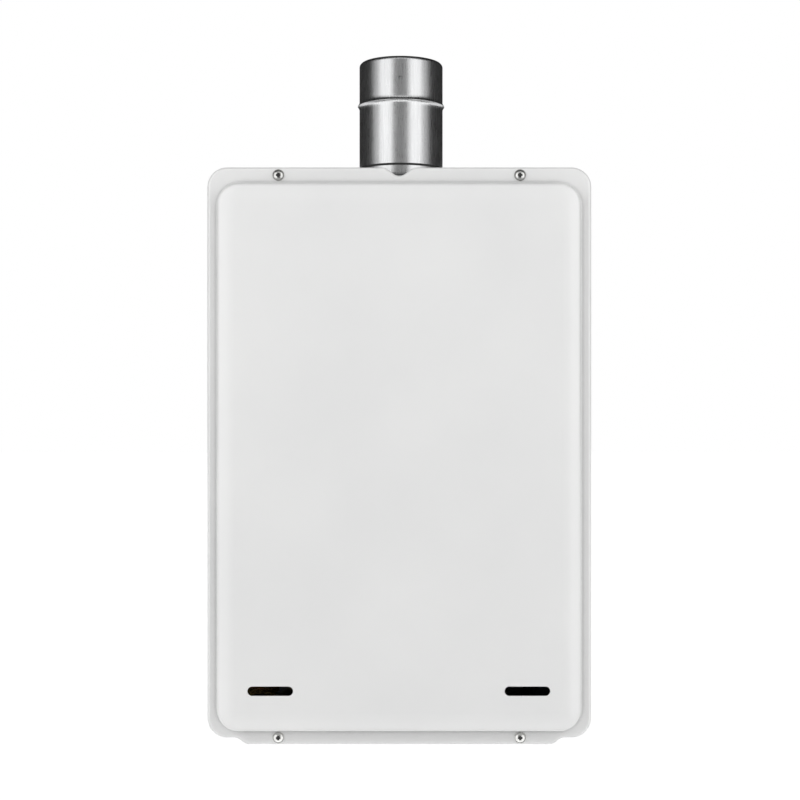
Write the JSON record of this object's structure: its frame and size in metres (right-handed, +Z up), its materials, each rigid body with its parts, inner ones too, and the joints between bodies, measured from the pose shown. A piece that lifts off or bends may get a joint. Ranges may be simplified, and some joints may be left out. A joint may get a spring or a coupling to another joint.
{
  "type": "gas water heater",
  "caption": "Wall-hung instantaneous gas water heater: white case with a raised front panel, low air slots and a stainless flue collar, with burner, exchanger, fan and valves inside.",
  "frame": {"origin": "centre of the four wall holes on the wall plane", "axes": "+Z up, +Y into the wall, +X to the right seen from the front"},
  "size_m": [0.35, 0.19, 0.6552],
  "materials": {
    "white_paint": "gloss white enamel",
    "screw_steel": "bright plated steel",
    "stainless": "drawn stainless steel",
    "black_rubber": "matt black",
    "fibre": "pressed fibre",
    "zinc_steel": "zinc-coated sheet",
    "burner_steel": "heat-tinted stainless steel",
    "copper": "bare copper",
    "brass": "turned brass",
    "cast_alloy": "die-cast",
    "black_plastic": "moulded black",
    "ceramic": "glazed ceramic",
    "mica": "clear mica",
    "red_lead": "silicone sleeve",
    "ivory_plastic": "moulded ivory",
    "board_green": "circuit board",
    "wire_grey": "sleeved wire"
  },
  "bodies": {
    "case": {"cover_gasket": "black_rubber", "rear_case": "white_paint", "cover_nuts": "screw_steel", "upper_bracket": "zinc_steel", "lower_bracket": "zinc_steel", "flue_collar": "stainless", "flue_seal": "black_rubber", "flue_base": "stainless", "flue_gasket": "fibre", "flue_screws": "screw_steel", "exhaust_hood": "zinc_steel", "core_gaskets": "fibre", "exchanger_shell": "copper", "exchanger_fins": "copper", "exchanger_tubes": "copper", "chamber_coil": "copper", "burner_box": "zinc_steel", "air_plate": "zinc_steel", "burner_bars": "burner_steel", "burner_front": "zinc_steel", "sight_glass": "mica", "inner_screws": "screw_steel", "core_brackets": "zinc_steel", "insulators": "ceramic", "electrodes": "screw_steel", "igniter": "black_plastic", "ignition_lead": "red_lead", "gas_manifold": "cast_alloy", "gas_injectors": "brass", "gas_riser": "cast_alloy", "gas_valve": "cast_alloy", "gas_fitting": "brass", "main_coil": "black_plastic", "mod_coil": "black_plastic", "fan_scroll": "zinc_steel", "fan_inlet": "zinc_steel", "fan_motor": "black_plastic", "cold_fitting": "brass", "flow_sensor": "black_plastic", "servo_valve": "black_plastic", "servo_motor": "black_plastic", "cold_pipe": "copper", "hot_pipe": "copper", "hot_fitting": "brass", "sensors": "black_plastic", "control_tray": "black_plastic", "circuit_board": "board_green", "wiring": "wire_grey", "bottom_seals": "black_rubber", "cable_gland": "black_rubber"},
    "cover": {"front_cover": "white_paint", "cover_screws": "screw_steel"},
    "fan_rotor": {"fan_impeller": "zinc_steel", "fan_shaft": "screw_steel"},
    "turbine": {"flow_turbine": "ivory_plastic"},
    "spindle": {"servo_spindle": "ivory_plastic"},
    "main_stem": {"main_plunger": "screw_steel"},
    "mod_stem": {"mod_plunger": "screw_steel"},
    "filter_knob": {"filter_plug": "black_plastic"},
    "drain_knob": {"drain_plug": "black_plastic"}
  },
  "joints": [
    {"name": "cover_pull", "type": "slide", "parent": "case", "child": "cover", "axis": [0, -1, 0], "range_m": [0, 0.3]},
    {"name": "fan_spin", "type": "hinge", "parent": "case", "child": "fan_rotor", "pos_m": [-0.048, -0.092, -0.1715], "axis": [0, -1, 0], "continuous": true},
    {"name": "turbine_spin", "type": "hinge", "parent": "case", "child": "turbine", "pos_m": [0.135, -0.075, -0.2155], "axis": [0, 0, 1], "continuous": true},
    {"name": "servo_turn", "type": "hinge", "parent": "case", "child": "spindle", "pos_m": [0.135, -0.075, -0.1555], "axis": [0, -1, 0], "range_deg": [0, 90]},
    {"name": "main_gas_lift", "type": "slide", "parent": "case", "child": "main_stem", "axis": [0, -1, 0], "range_m": [0, 0.003], "stiffness_N_per_m": 800, "springref_m": -0.002},
    {"name": "mod_gas_lift", "type": "slide", "parent": "case", "child": "mod_stem", "axis": [0, -1, 0], "range_m": [0, 0.0025], "stiffness_N_per_m": 600, "springref_m": -0.002},
    {"name": "filter_turn", "type": "hinge", "parent": "case", "child": "filter_knob", "pos_m": [0.135, -0.112, -0.2505], "axis": [0, 0, -1], "range_deg": [0, 720]},
    {"name": "drain_turn", "type": "hinge", "parent": "case", "child": "drain_knob", "pos_m": [-0.135, -0.112, -0.2505], "axis": [0, 0, -1], "range_deg": [0, 720]}
  ]
}
